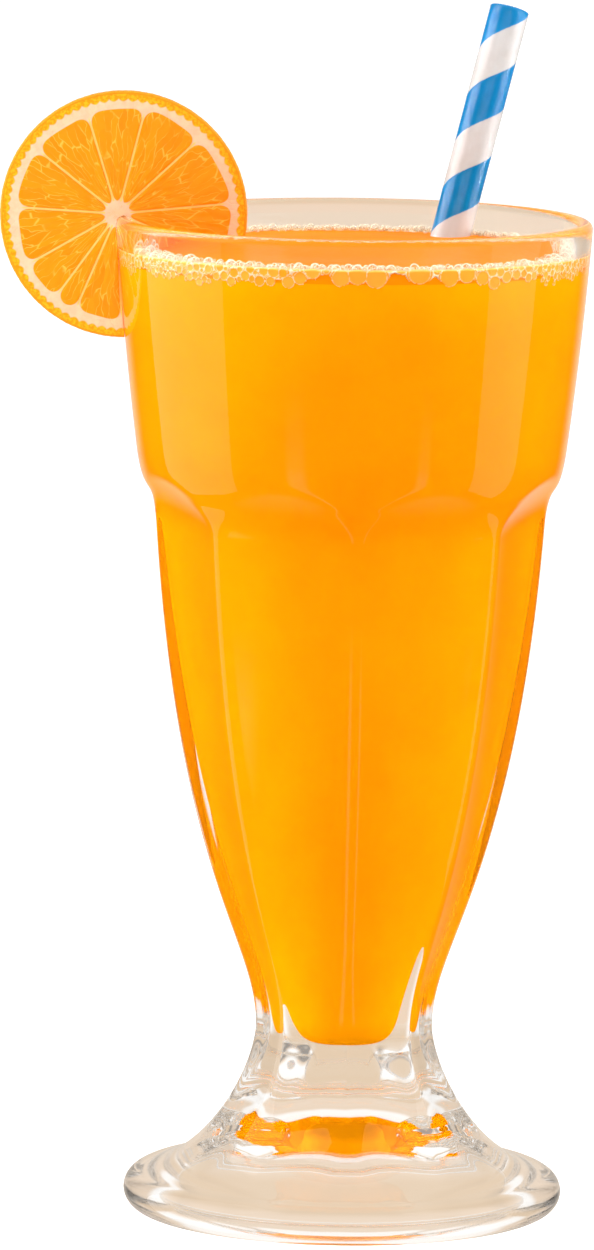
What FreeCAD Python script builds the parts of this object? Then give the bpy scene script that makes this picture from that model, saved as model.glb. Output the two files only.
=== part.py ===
import FreeCAD, Part
import math
import os

# A footed soda glass full of orange juice, with a paper straw and a slice of orange on its rim.
# Millimetres, +Z up. The origin is the middle of the foot's flat contact ring, on the table.
# The slice hangs over the rim at -X, facing -Y, and the straw leans towards +X and +Y.

# Glass: heights above the table
GLASS_HEIGHT = 200.0
SHOULDER_TOP_HEIGHT = 154.7
SHOULDER_BASE_HEIGHT = 139.0
WAIST_HEIGHT = 37.5
CAVITY_FLOOR_HEIGHT = 34.0
DOME_HEIGHT = 19.0              # hollow under the foot

# Glass: outside radii, over the ribs
RIM_RADIUS = 47.45
SHOULDER_TOP_RADIUS = 43.0
SHOULDER_BASE_RADIUS = 38.9
WAIST_RADIUS = 17.8
FOOT_RADIUS = 44.05
FOOT_EDGE_RADIUS = 4.0          # round of the foot's edge, half its thickness
CONTACT_RING_WIDTH = 2.2
DOME_ROUND = 1.0                # between the contact ring and the dome

# Glass: wall thicknesses
LIP_THICKNESS = 3.0
BAND_WALL = 4.5                 # at the top of the shoulder
FLUTE_WALL = 3.3                # behind a flute, at the base of the shoulder
WAIST_WALL = 8.0                # behind a flute, at the foot of the cavity
FLOOR_ROUND_HEIGHT = 6.5        # rounding between the cavity's wall and its floor
FLOOR_FLAT_RADIUS = 2.6

# Glass: slopes of the outlines, in radius per height
BAND_TOP_SLOPE = 0.073
BAND_BASE_SLOPE = 0.129
SHOULDER_BASE_SLOPE = 0.07
CAVITY_TOP_SLOPE = 0.08
CAVITY_SHOULDER_SLOPE = 0.24
CAVITY_BOWL_SLOPE = 0.16
CAVITY_FOOT_SLOPE = 0.18
FOOT_TOP_FALL = 10.6            # degrees by which the foot's top falls where it meets the edge

# Glass: the hollow flutes between the ribs
FLUTE_COUNT = 8
FIRST_RIB_AZIMUTH = -88.0       # degrees from +X
RIB_WIDTH = 1.6
FLUTE_AXIS_DISTANCE = 180.0     # a flute is turned about an upright axis this far from the glass's
ARCH_TOP_HEIGHT = 150.0         # where the arch at a flute's top meets the shoulder
ARCH_SLOPE = 0.9
ARCH_OVERRUN = 3.0
FOOT_FLUTE_DEPTH = 2.4
FOOT_FLUTE_FADE = 0.8           # how far a flute's end stands clear of the foot's edge

# Juice and froth
HEADSPACE = 6.2                 # from the juice's level up to the rim
FROTH_RISE = 0.8                # above the level, at the wall
FROTH_DEPTH = 3.1               # below the level, at the wall
FROTH_WIDTH = 6.0

# Straw
STRAW_DIAMETER = 8.0
STRAW_WALL = 0.45
STRAW_LENGTH = 180.0
STRAW_TIP_HEIGHT = 70.0
STRAW_RIM_AZIMUTH = 58.7        # degrees from +X, where it leans on the lip
STRAW_TIP_AZIMUTH = 180.0       # where its lower end leans on the wall
STRAW_CLEARANCE = 0.1

# Orange slice
SLICE_RADIUS = 24.65
SLICE_THICKNESS = 4.5
SLICE_EDGE_ROUND = 0.6
SLIT_CLEARANCE = 0.15           # between the slit and the glass
SLICE_SEAT = 0.35               # from the lip up to the slice's centre

Z_AXIS = FreeCAD.Vector(0, 0, 1)


def point(radius, height):
    """Point of an outline, in the XZ plane."""
    return FreeCAD.Vector(radius, 0, height)


def bezier(poles):
    """Bezier curve through its first and last pole, from (radius, height) pairs."""
    curve = Part.BezierCurve()
    curve.setPoles([point(radius, height) for radius, height in poles])
    return curve


def flank(low, low_slope, low_pull, high, high_slope, high_pull):
    """Smooth curve between two (radius, height) stations.

    A slope is radius per height. A pull is the share of the rise over which the curve keeps it.
    """
    rise = high[1] - low[1]
    low_run = low_pull * rise
    high_run = high_pull * rise
    after_low = (low[0] + low_slope * low_run, low[1] + low_run)
    before_high = (high[0] - high_slope * high_run, high[1] - high_run)
    return bezier([low, after_low, before_high, high])


def radius_at(curves, height):
    """Radius of an outline at a height. Its curves are given from the lowest to the highest."""
    for curve in curves:
        if height <= curve.EndPoint.z:
            break
    low = 0.0
    high = 1.0
    for _ in range(40):
        middle = (low + high) / 2
        if curve.value(middle).z < height:
            low = middle
        else:
            high = middle
    return curve.value(low).x


def flute_radius(rib_radius):
    """Distance from the glass's axis to the middle of a flute that leaves ribs of RIB_WIDTH."""
    edge_angle = math.pi / FLUTE_COUNT - RIB_WIDTH / (2 * rib_radius)
    across = FLUTE_AXIS_DISTANCE ** 2 + rib_radius ** 2
    across -= 2 * FLUTE_AXIS_DISTANCE * rib_radius * math.cos(edge_angle)
    return FLUTE_AXIS_DISTANCE - math.sqrt(across)


def lathe(edges):
    """Solid turned about the Z axis from a closed outline in the XZ plane."""
    face = Part.Face(Part.Wire(Part.__sortEdges__(edges)))
    return face.revolve(FreeCAD.Vector(0, 0, 0), Z_AXIS, 360)


def line(start, end):
    """Straight edge between two (radius, height) stations."""
    return Part.LineSegment(point(*start), point(*end)).toShape()


def arc(start, middle, end):
    """Arc through three (radius, height) stations."""
    return Part.Arc(point(*start), point(*middle), point(*end)).toShape()


def foot_edge_end():
    """Station where the foot's rounded edge runs into its top, and the top's slope there."""
    fall = math.radians(FOOT_TOP_FALL)
    edge_centre = FOOT_RADIUS - FOOT_EDGE_RADIUS
    radius = edge_centre + FOOT_EDGE_RADIUS * math.sin(fall)
    height = FOOT_EDGE_RADIUS * (1 + math.cos(fall))
    return (radius, height), -1 / math.tan(fall)


LIP_ROUND = LIP_THICKNESS / 2
LIP_HEIGHT = GLASS_HEIGHT - LIP_ROUND
JUICE_LEVEL = GLASS_HEIGHT - HEADSPACE
FOOT_EDGE_END, FOOT_EDGE_SLOPE = foot_edge_end()
WAIST = (WAIST_RADIUS, WAIST_HEIGHT)
SHOULDER_BASE = (SHOULDER_BASE_RADIUS, SHOULDER_BASE_HEIGHT)
SHOULDER_TOP = (SHOULDER_TOP_RADIUS, SHOULDER_TOP_HEIGHT)
LIP_OUTSIDE = (RIM_RADIUS, LIP_HEIGHT)
LIP_TOP = (RIM_RADIUS - LIP_ROUND, GLASS_HEIGHT)
LIP_INSIDE = (RIM_RADIUS - LIP_THICKNESS, LIP_HEIGHT)
LIP_DIAGONAL = LIP_ROUND * math.sqrt(0.5)

# Outside of the glass over its ribs, from the foot's edge up to the lip
FOOT_TOP = flank(FOOT_EDGE_END, FOOT_EDGE_SLOPE, 0.088, WAIST, 0.0, 0.272)
BOWL = flank(WAIST, 0.0, 0.167, SHOULDER_BASE, SHOULDER_BASE_SLOPE, 0.715)
SHOULDER = flank(SHOULDER_BASE, SHOULDER_BASE_SLOPE, 0.68, SHOULDER_TOP, BAND_BASE_SLOPE, 0.75)
BAND = flank(SHOULDER_TOP, BAND_BASE_SLOPE, 0.33, LIP_OUTSIDE, BAND_TOP_SLOPE, 0.33)
OUTSIDE = [FOOT_TOP, BOWL, SHOULDER, BAND]

# Cavity, from the floor up to the lip
CAVITY_CORNER = (flute_radius(WAIST_RADIUS) - WAIST_WALL, CAVITY_FLOOR_HEIGHT + FLOOR_ROUND_HEIGHT)
CAVITY_BOWL_TOP = (flute_radius(SHOULDER_BASE_RADIUS) - FLUTE_WALL, SHOULDER_BASE_HEIGHT)
CAVITY_BAND_BASE = (SHOULDER_TOP_RADIUS - BAND_WALL, SHOULDER_TOP_HEIGHT)
FLOOR_ROUND = bezier([
    (FLOOR_FLAT_RADIUS, CAVITY_FLOOR_HEIGHT),
    ((FLOOR_FLAT_RADIUS + 2 * CAVITY_CORNER[0]) / 3, CAVITY_FLOOR_HEIGHT),
    (CAVITY_CORNER[0] - CAVITY_FOOT_SLOPE * FLOOR_ROUND_HEIGHT / 2,
     CAVITY_FLOOR_HEIGHT + FLOOR_ROUND_HEIGHT / 2),
    CAVITY_CORNER,
])
CAVITY_BOWL = flank(CAVITY_CORNER, CAVITY_FOOT_SLOPE, 0.34, CAVITY_BOWL_TOP, CAVITY_BOWL_SLOPE, 0.7)
CAVITY_SHOULDER = flank(CAVITY_BOWL_TOP, CAVITY_BOWL_SLOPE, 0.3, CAVITY_BAND_BASE, CAVITY_SHOULDER_SLOPE, 0.3)
CAVITY_BAND = flank(CAVITY_BAND_BASE, CAVITY_SHOULDER_SLOPE, 0.3, LIP_INSIDE, CAVITY_TOP_SLOPE, 0.4)
CAVITY = [FLOOR_ROUND, CAVITY_BOWL, CAVITY_SHOULDER, CAVITY_BAND]


def glass_envelope():
    """Glass before its flutes and its cavity are cut, with the dome under its foot."""
    ring_outside = (FOOT_RADIUS - FOOT_EDGE_RADIUS, 0)
    ring_inside = (ring_outside[0] - CONTACT_RING_WIDTH, 0)
    dome_radius = ring_inside[0] - DOME_ROUND
    dome_edge = (dome_radius, DOME_ROUND)
    dome = bezier([
        (0, DOME_HEIGHT),
        (0.45 * dome_radius, DOME_HEIGHT),
        (0.85 * dome_radius, 0.6 * DOME_HEIGHT),
        dome_edge,
    ])
    edges = [curve.toShape() for curve in OUTSIDE]
    edges += [
        line((0, GLASS_HEIGHT), (0, DOME_HEIGHT)),
        dome.toShape(),
        bezier([dome_edge, (dome_radius + 0.3 * DOME_ROUND, 0), ring_inside]).toShape(),
        line(ring_inside, ring_outside),
        arc(ring_outside, (FOOT_RADIUS, FOOT_EDGE_RADIUS), FOOT_EDGE_END),
        arc(LIP_OUTSIDE, (LIP_TOP[0] + LIP_DIAGONAL, LIP_HEIGHT + LIP_DIAGONAL), LIP_TOP),
        line(LIP_TOP, (0, GLASS_HEIGHT)),
    ]
    return lathe(edges)


def cavity():
    """Space inside the glass, up to the top of the lip, which it rounds on the inside."""
    edges = [curve.toShape() for curve in CAVITY]
    edges += [
        arc(LIP_INSIDE, (LIP_TOP[0] - LIP_DIAGONAL, LIP_HEIGHT + LIP_DIAGONAL), LIP_TOP),
        line(LIP_TOP, (0, GLASS_HEIGHT)),
        line((0, GLASS_HEIGHT), (0, CAVITY_FLOOR_HEIGHT)),
        line((0, CAVITY_FLOOR_HEIGHT), (FLOOR_FLAT_RADIUS, CAVITY_FLOOR_HEIGHT)),
    ]
    return lathe(edges)


def flute_cutter():
    """Tool for the flute that faces +X: a solid turned about the flute's own upright axis."""
    foot_poles = FOOT_TOP.getPoles()
    waist_depth = WAIST_RADIUS - flute_radius(WAIST_RADIUS)
    depths = [-FOOT_FLUTE_FADE, FOOT_FLUTE_DEPTH, waist_depth, waist_depth]
    foot = bezier([(pole.x - depth, pole.z) for pole, depth in zip(foot_poles, depths)])
    steps = 8
    rise = SHOULDER_BASE_HEIGHT - WAIST_HEIGHT
    heights = [WAIST_HEIGHT + rise * step / steps for step in range(steps + 1)]
    bowl = Part.BSplineCurve()
    bowl.interpolate([point(flute_radius(radius_at(OUTSIDE, height)), height) for height in heights])
    arch_base = (flute_radius(SHOULDER_BASE_RADIUS), SHOULDER_BASE_HEIGHT)
    arch_top = (radius_at(OUTSIDE, ARCH_TOP_HEIGHT) + ARCH_SLOPE * ARCH_OVERRUN, ARCH_TOP_HEIGHT + ARCH_OVERRUN)
    arch = flank(arch_base, SHOULDER_BASE_SLOPE, 0.3, arch_top, ARCH_SLOPE, 0.45)
    low_end = foot.getPole(1)
    edges = [
        foot.toShape(),
        bowl.toShape(),
        arch.toShape(),
        line(arch_top, (FLUTE_AXIS_DISTANCE, arch_top[1])),
        line((FLUTE_AXIS_DISTANCE, arch_top[1]), (FLUTE_AXIS_DISTANCE, low_end.z)),
        line((FLUTE_AXIS_DISTANCE, low_end.z), (low_end.x, low_end.z)),
    ]
    face = Part.Face(Part.Wire(Part.__sortEdges__(edges)))
    flute_axis = point(FLUTE_AXIS_DISTANCE, 0)
    half_sweep = math.degrees(math.asin(RIM_RADIUS / FLUTE_AXIS_DISTANCE))
    face.rotate(flute_axis, Z_AXIS, -half_sweep)
    return face.revolve(flute_axis, Z_AXIS, 2 * half_sweep)


def glass(inside):
    """Envelope less its flutes and its cavity."""
    first = FIRST_RIB_AZIMUTH + 180.0 / FLUTE_COUNT
    cutter = flute_cutter()
    tools = []
    for index in range(FLUTE_COUNT):
        tool = cutter.copy()
        tool.rotate(FreeCAD.Vector(0, 0, 0), Z_AXIS, first + index * 360.0 / FLUTE_COUNT)
        tools.append(tool)
    return glass_envelope().cut(tools + [inside])


def around(radius, azimuth, height):
    """Point at a radius and an azimuth in degrees."""
    angle = math.radians(azimuth)
    return FreeCAD.Vector(radius * math.cos(angle), radius * math.sin(angle), height)


def straw_axis():
    """Lower end and direction of the straw, which leans on the lip above and on the cavity below."""
    spread = STRAW_DIAMETER / 2
    for _ in range(20):
        reach = spread + STRAW_CLEARANCE
        tip = around(radius_at(CAVITY, STRAW_TIP_HEIGHT) - reach, STRAW_TIP_AZIMUTH, STRAW_TIP_HEIGHT)
        lean = around(LIP_INSIDE[0] - reach, STRAW_RIM_AZIMUTH, LIP_HEIGHT)
        direction = (lean - tip).normalize()
        spread = STRAW_DIAMETER / 2 / direction.z
    return tip, direction


def straw_rod(radius):
    """Full cylinder along the straw's axis, with square ends."""
    tip, direction = straw_axis()
    return Part.makeCylinder(radius, STRAW_LENGTH, tip, direction)


def slice_disc():
    """Orange slice before it is slit, standing across the rim at -X with its faces towards -Y and +Y."""
    centre = FreeCAD.Vector(-LIP_TOP[0], -SLICE_THICKNESS / 2, GLASS_HEIGHT + SLICE_SEAT)
    disc = Part.makeCylinder(SLICE_RADIUS, SLICE_THICKNESS, centre, FreeCAD.Vector(0, 1, 0))
    rims = [edge for edge in disc.Edges if edge.Closed]
    return disc.makeFillet(SLICE_EDGE_ROUND, rims)


def slit_tool():
    """Ring that the slit leaves free: the glass wall with SLIT_CLEARANCE on every side of it."""
    bottom = GLASS_HEIGHT + SLICE_SEAT - SLICE_RADIUS - 1.0
    steps = 10
    heights = [bottom + (LIP_HEIGHT - bottom) * step / steps for step in range(steps + 1)]
    outer = Part.BSplineCurve()
    outer.interpolate([point(radius_at(OUTSIDE, height) + SLIT_CLEARANCE, height) for height in heights])
    inner = Part.BSplineCurve()
    inner.interpolate([point(radius_at(CAVITY, height) - SLIT_CLEARANCE, height) for height in heights])
    top = point(LIP_TOP[0], GLASS_HEIGHT + SLIT_CLEARANCE)
    edges = [
        outer.toShape(),
        inner.toShape(),
        Part.Arc(outer.EndPoint, top, inner.EndPoint).toShape(),
        Part.LineSegment(inner.StartPoint, outer.StartPoint).toShape(),
    ]
    return lathe(edges)


def froth_ring(inside):
    """Whole ring of froth: it thins towards the middle and stands highest at the wall."""
    low = JUICE_LEVEL - FROTH_DEPTH
    high = JUICE_LEVEL + FROTH_RISE
    crest = (RIM_RADIUS, high)
    foot = (RIM_RADIUS, low)
    tip = (radius_at(CAVITY, JUICE_LEVEL) - FROTH_WIDTH, JUICE_LEVEL)
    edges = [
        line(foot, crest),
        bezier([crest, (crest[0] - FROTH_WIDTH, high), (tip[0] + FROTH_WIDTH / 4, high), tip]).toShape(),
        bezier([tip, (tip[0] + FROTH_WIDTH / 4, low), (foot[0] - FROTH_WIDTH, low), foot]).toShape(),
    ]
    return lathe(edges).common(inside)


def juice_body(inside):
    """What fills the cavity up to the juice's level."""
    above = Part.makeCylinder(RIM_RADIUS, GLASS_HEIGHT, point(0, JUICE_LEVEL))
    return inside.cut(above)


def save(shape, node):
    """Write one node to parts/."""
    whole = shape.removeSplitter()
    if len(whole.Solids) == 1:
        whole = whole.Solids[0]
    whole.exportStep(f"parts/{node}.step")
    box = whole.optimalBoundingBox()
    print(f"{node}: {len(whole.Solids)} solid, {whole.Volume / 1000:.2f} cm3, valid {whole.isValid()}, "
          f"x {box.XMin:.2f} {box.XMax:.2f}, y {box.YMin:.2f} {box.YMax:.2f}, z {box.ZMin:.2f} {box.ZMax:.2f}")


os.makedirs("parts", exist_ok=True)
inside_space = cavity()
straw_outside = straw_rod(STRAW_DIAMETER / 2)
straw_tube = straw_outside.cut(straw_rod(STRAW_DIAMETER / 2 - STRAW_WALL))
whole_slice = slice_disc()
froth = froth_ring(inside_space).cut([straw_outside, whole_slice])
save(glass(inside_space), "glass")
save(juice_body(inside_space).cut([froth, straw_tube, whole_slice]), "juice")
save(froth, "froth")
save(straw_tube, "straw")
save(whole_slice.cut(slit_tool()), "orange_slice")
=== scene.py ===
# %% [markdown]
# # A glass of orange juice
# This lesson dresses a packed construction model: a footed soda glass full of juice, a ring of
# froth, a slice of orange on the rim and a paper straw. The model's solids fix every place and
# size. Each visible piece is a surface worked out as whole numpy arrays, and each finish is a
# small tree of shader nodes written as ordinary sums and products.

# %% Load the fixed frame
import bpy
import math
import numpy as np
from mathutils import Matrix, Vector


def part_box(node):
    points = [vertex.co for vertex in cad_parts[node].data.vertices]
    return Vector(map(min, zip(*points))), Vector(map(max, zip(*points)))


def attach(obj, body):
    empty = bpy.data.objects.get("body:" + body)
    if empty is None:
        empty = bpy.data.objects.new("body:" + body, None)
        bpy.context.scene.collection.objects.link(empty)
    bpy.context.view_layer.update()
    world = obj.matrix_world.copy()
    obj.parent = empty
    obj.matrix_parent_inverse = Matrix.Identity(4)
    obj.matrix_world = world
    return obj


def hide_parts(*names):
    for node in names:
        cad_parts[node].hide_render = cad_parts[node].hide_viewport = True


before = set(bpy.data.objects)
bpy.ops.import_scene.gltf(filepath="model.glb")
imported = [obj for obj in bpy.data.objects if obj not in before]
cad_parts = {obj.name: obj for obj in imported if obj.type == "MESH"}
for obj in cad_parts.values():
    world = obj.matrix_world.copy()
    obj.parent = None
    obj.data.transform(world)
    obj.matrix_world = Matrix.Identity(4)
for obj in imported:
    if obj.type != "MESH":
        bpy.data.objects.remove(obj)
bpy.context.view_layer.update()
MM = 0.001
FULL_TURN = 2 * math.pi
random = np.random.default_rng(405)

# %% [markdown]
# ## Places taken from the frame
# A piece that is measured from the frame's own boxes can't drift away from the solids it stands
# for. The boxes give the height of the glass, its widest radius, the level of the juice and the
# slice's centre. The rim is drawn a hair inside its solid, so that nothing reaches past it.
# Lengths are millimetres, as glassware is drawn, and become metres only when a mesh is made.

# %% Sizes of the pieces
def box_mm(node):
    """Lowest and highest corner of a node, in millimetres."""
    low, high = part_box(node)
    return np.array(low) / MM, np.array(high) / MM


glass_high = box_mm("glass")[1]
juice_low, juice_high = box_mm("juice")
slice_low, slice_high = box_mm("orange_slice")
HEIGHT = glass_high[2]
HAIR = 0.01
RIM_RADIUS = glass_high[0] - HAIR
LEVEL = juice_high[2]
FLOOR_OF_CAVITY = juice_low[2]
SLICE_RADIUS = (slice_high[2] - slice_low[2]) / 2
SLICE_CENTRE = (slice_low + slice_high) / 2
print(f"glass {HEIGHT:.1f} mm high, juice from {FLOOR_OF_CAVITY:.1f} to {LEVEL:.1f} mm")

# %% [markdown]
# ## From arrays to a mesh
# Most pieces are a grid of points: rows along a profile, columns around an axis. A grid becomes
# quads by joining each point to its neighbours. Wrapping the columns closes the surface like a
# tube, and a row that shrinks to one point is closed with a fan of triangles.

# %% Grid helpers
def quads(rows, columns, wrap):
    """Faces of a grid numbered row by row: each goes along its row first, then over to the next."""
    row = np.arange(rows - 1)[:, None] * columns
    here = np.arange(columns if wrap else columns - 1)[None, :]
    there = (here + 1) % columns
    corners = np.stack(np.broadcast_arrays(row + here, row + there, row + columns + there,
                                           row + columns + here), axis=-1)
    return corners.reshape(-1, 4)


def fan(centre, ring, reverse=False):
    """Triangles from one point to a closed ring of points."""
    turned = np.roll(ring, -1)
    pair = (turned, ring) if reverse else (ring, turned)
    return np.stack([np.full(len(ring), centre), pair[0], pair[1]], axis=-1)


def add_object(name, data):
    """Object made of a mesh, a lamp or a camera, put in the scene."""
    thing = bpy.data.objects.new(name, data)
    bpy.context.scene.collection.objects.link(thing)
    return thing


def around_axis(radius, turn, height):
    """Points with x = radius cos turn and y = radius sin turn, as one list."""
    grid = np.broadcast_arrays(radius * np.cos(turn), radius * np.sin(turn), height)
    return np.stack(grid, axis=-1).reshape(-1, 3)


def make_piece(name, points, faces, materials, material_of_face=None):
    """Mesh object at the origin from points in millimetres and a list of face arrays."""
    mesh = bpy.data.meshes.new(name)
    counts = np.concatenate([np.full(len(block), block.shape[1]) for block in faces])
    loops = np.concatenate([block.ravel() for block in faces]).astype(np.int32)
    mesh.vertices.add(len(points))
    mesh.vertices.foreach_set("co", (np.asarray(points) * MM).astype(np.float32).ravel())
    mesh.loops.add(len(loops))
    mesh.loops.foreach_set("vertex_index", loops)
    mesh.polygons.add(len(counts))
    mesh.polygons.foreach_set("loop_start", np.concatenate([[0], np.cumsum(counts)[:-1]]).astype(np.int32))
    mesh.polygons.foreach_set("loop_total", counts.astype(np.int32))
    mesh.polygons.foreach_set("use_smooth", np.ones(len(counts), dtype=bool))
    for material in materials:
        mesh.materials.append(material)
    if material_of_face is not None:
        mesh.polygons.foreach_set("material_index", material_of_face.astype(np.int32))
    mesh.update(calc_edges=True)
    mesh.validate()
    piece = add_object(name, mesh)
    print(f"{name}: {len(points)} points, {len(counts)} faces")
    return piece


def paint(piece, name, values):
    """Stores one number for each point, which a shader reads as an attribute."""
    attribute = piece.data.attributes.new(name, "FLOAT", "POINT")
    attribute.data.foreach_set("value", np.asarray(values, dtype=np.float32).ravel())


# %% [markdown]
# ## Shader sums
# A node tree is easiest to read as a formula. `Wire` stands for one output socket, and its
# operators add Math nodes, so `1 - mask * 0.5` builds the nodes that it says.

# %% Wire
class Wire:
    """One output socket of a material. Sums and products of wires add Math nodes."""

    def __init__(self, finish, socket):
        self.finish = finish
        self.socket = socket

    def math(self, operation, first, second=0.0, clamp=False):
        return self.finish.node("ShaderNodeMath", {"operation": operation, "use_clamp": clamp},
                                {0: first, 1: second})

    def __add__(self, other):
        return self.math("ADD", self, other)

    def __sub__(self, other):
        return self.math("SUBTRACT", self, other)

    def __mul__(self, other):
        return self.math("MULTIPLY", self, other)

    def __truediv__(self, other):
        return self.math("DIVIDE", self, other)

    def __rsub__(self, other):
        return self.math("SUBTRACT", other, self)

    __radd__ = __add__
    __rmul__ = __mul__

    def clamped(self):
        return self.math("ADD", self, 0.0, clamp=True)

    def absolute(self):
        return self.math("ABSOLUTE", self)

    def sine(self):
        return self.math("SINE", self)

    def fraction(self):
        return self.math("FRACT", self)

    def ramp_between(self, low, high):
        """Smooth step from 0 at low to 1 at high."""
        return self.finish.node("ShaderNodeMapRange", {"interpolation_type": "SMOOTHSTEP"},
                                {"Value": self, "From Min": low, "From Max": high})


# %% [markdown]
# ## Finishes
# A finish is one material's tree. Every node comes from `Finish.node`, which sets the node's
# settings first and then its sockets, because a setting can change which sockets there are.

# %% Finish
class Finish:
    """A material's node tree, with one short way to add any node."""

    def __init__(self, name, owner=None):
        self.owner = owner or bpy.data.materials.new(name)
        self.owner.use_nodes = True
        self.tree = self.owner.node_tree
        self.tree.nodes.clear()

    def node(self, kind, settings=None, sockets=None, output=0):
        """Adds a node: its settings first, then its sockets' values or links."""
        node = self.tree.nodes.new(kind)
        for name, value in (settings or {}).items():
            setattr(node, name, value)
        for name, value in (sockets or {}).items():
            if isinstance(value, Wire):
                self.tree.links.new(value.socket, node.inputs[name])
            else:
                node.inputs[name].default_value = value
        return None if output is None else Wire(self, node.outputs[output])

    def place(self):
        """Position in the piece's own metres."""
        return self.node("ShaderNodeTexCoord", output="Object")

    def attribute(self, name):
        return self.node("ShaderNodeAttribute", {"attribute_name": name}, output="Fac")

    def noise(self, scale, detail=2.0, roughness=0.5):
        """Even, cloudy noise; the scale is in waves per metre."""
        return self.node("ShaderNodeTexNoise", {}, {"Vector": self.place(), "Scale": scale,
                                                    "Detail": detail, "Roughness": roughness})

    def blend(self, factor, first, second):
        """Colour between two colours."""
        return self.node("ShaderNodeMix", {"data_type": "RGBA"}, {0: factor, 6: first, 7: second}, output=2)

    def bump(self, height, strength, distance):
        """Normal tilted by a height; the distance is in metres."""
        return self.node("ShaderNodeBump", {}, {"Height": height, "Strength": strength,
                                                "Distance": distance})

    def surface(self, sockets):
        """Principled surface."""
        return self.node("ShaderNodeBsdfPrincipled", {}, sockets)

    def done(self, shader, kind="ShaderNodeOutputMaterial"):
        """Ends the tree and gives its owner, a material or the world."""
        self.node(kind, {}, {"Surface": shader}, output=None)
        return self.owner


# %% [markdown]
# ## The glass's outline
# Pressed glass is made between a mould and a plunger, so its outline is a chain of long smooth
# curves. Each stretch here is one cubic curve between two stations, which keeps a given slope at
# each end for a share of its rise. The same stations shaped the solid, so the two agree.

# %% Outline curves
def cubic(poles, count):
    """Cubic curve: each pole weighs in by its own term of ((1 - t) + t) cubed."""
    t = np.linspace(0, 1, count)[:, None]
    a, b, c, d = np.array(poles, dtype=float)
    return (1 - t) ** 3 * a + 3 * (1 - t) ** 2 * t * b + 3 * (1 - t) * t ** 2 * c + t ** 3 * d


def flank_poles(low, low_slope, low_pull, high, high_slope, high_pull):
    """Poles between two (radius, height) stations: each end pulls along its slope, by its rise's share."""
    rise = high[1] - low[1]
    after_low = (low[0] + low_slope * low_pull * rise, low[1] + low_pull * rise)
    before_high = (high[0] - high_slope * high_pull * rise, high[1] - high_pull * rise)
    return np.array([low, after_low, before_high, high])


def flank(low, low_slope, low_pull, high, high_slope, high_pull, count):
    """Cubic curve between two stations that keeps a slope at each end."""
    return cubic(flank_poles(low, low_slope, low_pull, high, high_slope, high_pull), count)


def round_edge(centre, radius, start, end, count):
    """Circular arc, from one angle to another in degrees, anticlockwise where end is larger."""
    angle = np.radians(np.linspace(start, end, count))
    return np.stack([centre[0] + radius * np.cos(angle), centre[1] + radius * np.sin(angle)], axis=-1)


# %% [markdown]
# ## Stations and walls
# The outside runs over foot, waist, bowl, shoulder and band to a round lip. The cavity follows it,
# a wall's thickness in: thick at the waist, where the plunger ends, and thin behind a flute.

# %% Stations and walls
FLUTES = 8
FLUTE_TURN = FULL_TURN / FLUTES
FIRST_RIB = -88.0
FIRST_FLUTE = math.radians(FIRST_RIB) + math.pi / FLUTES
FLUTE_AXIS = 180.0
RIB_WIDTH = 1.6
LIP = 1.5
EDGE = 4.0
EDGE_CENTRE = (40.05, EDGE)
EDGE_FALL = 10.6
WAIST = (17.8, 37.5)
SHOULDER_BASE = (38.9, 139.0)
SHOULDER_TOP = (43.0, 154.7)
WAIST_WALL = 8.0
FLUTE_WALL = 3.3
BAND_WALL = 4.5
FLOOR_FLAT = 2.6
FLOOR_ROUND = 6.5
DOME_HEIGHT = 19.0
FOOT_PULL = 0.088
WAIST_PULL = 0.272
SHOULDER_SLOPE = 0.07
BAND_SLOPE = 0.129
LIP_SLOPE = 0.073
INNER_FLOOR_SLOPE = 0.18
INNER_SHOULDER_SLOPE = 0.16
INNER_BAND_SLOPE = 0.24
INNER_LIP_SLOPE = 0.08


def flute_radius(rib_radius):
    """Middle of a flute: the flute's own axis distance less the distance from there to a rib's edge."""
    half = math.pi / FLUTES - RIB_WIDTH / (2 * rib_radius)
    squares = FLUTE_AXIS ** 2 + rib_radius ** 2
    return FLUTE_AXIS - np.sqrt(squares - 2 * FLUTE_AXIS * rib_radius * np.cos(half))


edge_top = round_edge(EDGE_CENTRE, EDGE, -90, 90 - EDGE_FALL, 22)
edge_slope = -1 / math.tan(math.radians(EDGE_FALL))
foot_ends = (edge_top[-1], edge_slope, FOOT_PULL, WAIST, 0.0, WAIST_PULL)
foot_top = flank(*foot_ends, 44)
bowl = flank(WAIST, 0.0, 0.167, SHOULDER_BASE, SHOULDER_SLOPE, 0.715, 64)
shoulder = flank(SHOULDER_BASE, SHOULDER_SLOPE, 0.68, SHOULDER_TOP, BAND_SLOPE, 0.75, 44)
band = flank(SHOULDER_TOP, BAND_SLOPE, 0.33, (RIM_RADIUS, HEIGHT - LIP), LIP_SLOPE, 0.33, 20)
lip = round_edge((RIM_RADIUS - LIP, HEIGHT - LIP), LIP, 0, 180, 17)
outside = np.concatenate([edge_top, foot_top[1:], bowl[1:], shoulder[1:], band[1:]])

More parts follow.
